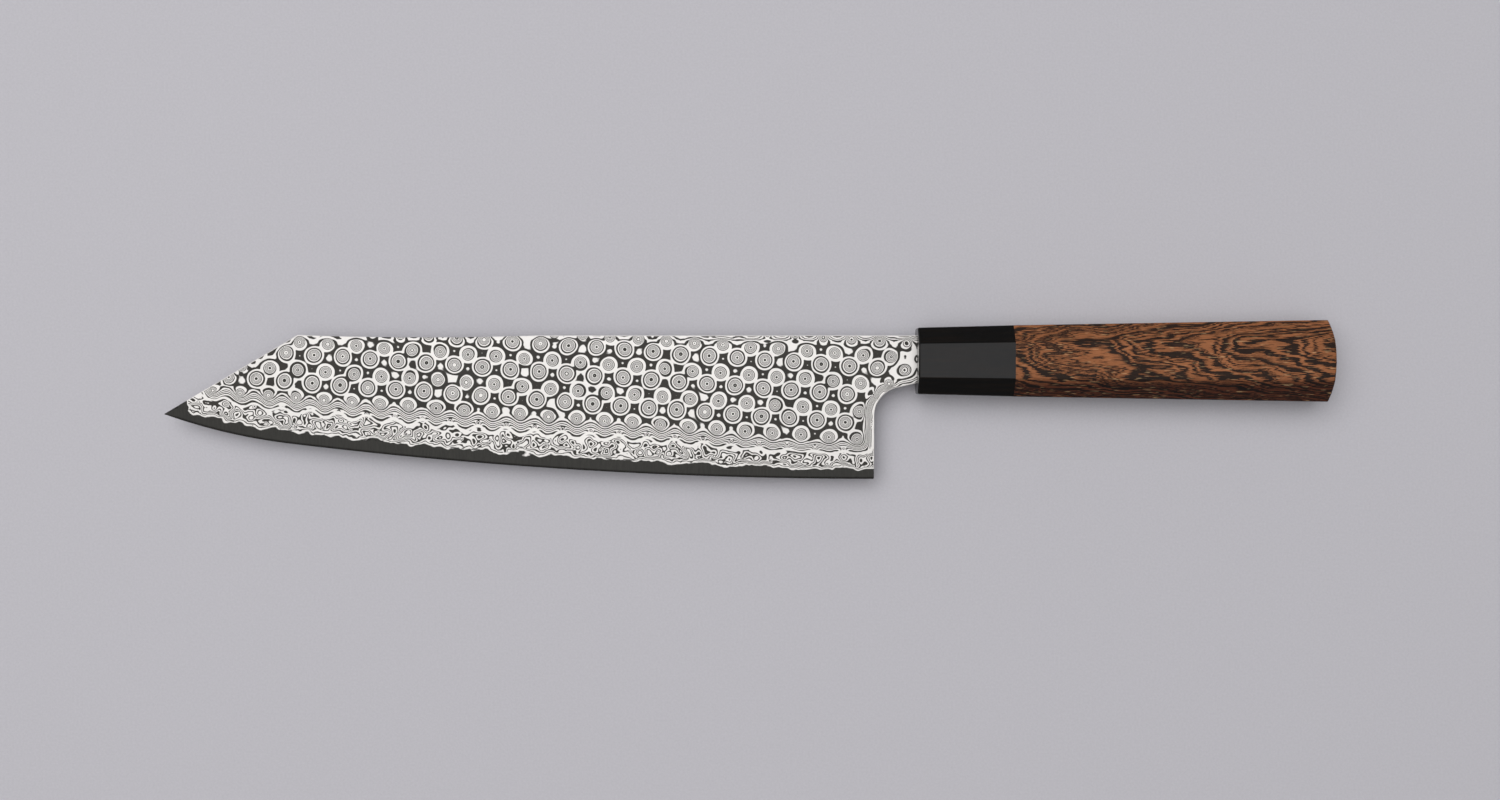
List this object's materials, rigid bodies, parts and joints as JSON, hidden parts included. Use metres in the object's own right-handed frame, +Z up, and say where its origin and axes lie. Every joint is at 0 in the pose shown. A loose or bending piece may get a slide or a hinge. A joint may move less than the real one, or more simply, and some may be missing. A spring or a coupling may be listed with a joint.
{
  "type": "chef knife",
  "caption": "Long chef knife with a straight clipped point, patterned three-layer steel blade, black ferrule and octagonal dark wood handle.",
  "frame": {"origin": "middle of the knife's length and height, on the floor plane under its right side", "axes": "+X towards the butt of the handle, the point at -X; +Y towards the spine, the cutting edge at -Y; +Z up, out of the left side of the blade"},
  "size_m": [0.3944, 0.0535, 0.022],
  "materials": {
    "core_steel": "dark etched satin",
    "patterned_steel": "etched satin with a light and dark layer pattern",
    "black_horn": "polished",
    "dark_wood": "oiled, streaked grain",
    "dowel_wood": "unfinished",
    "adhesive": "set resin"
  },
  "bodies": {
    "root": {"blade_core": "core_steel", "left_cladding": "patterned_steel", "right_cladding": "patterned_steel", "ferrule": "black_horn", "handle_body": "dark_wood", "handle_dowel": "dowel_wood", "tang_adhesive": "adhesive", "dowel_adhesive": "adhesive"}
  },
  "joints": []
}
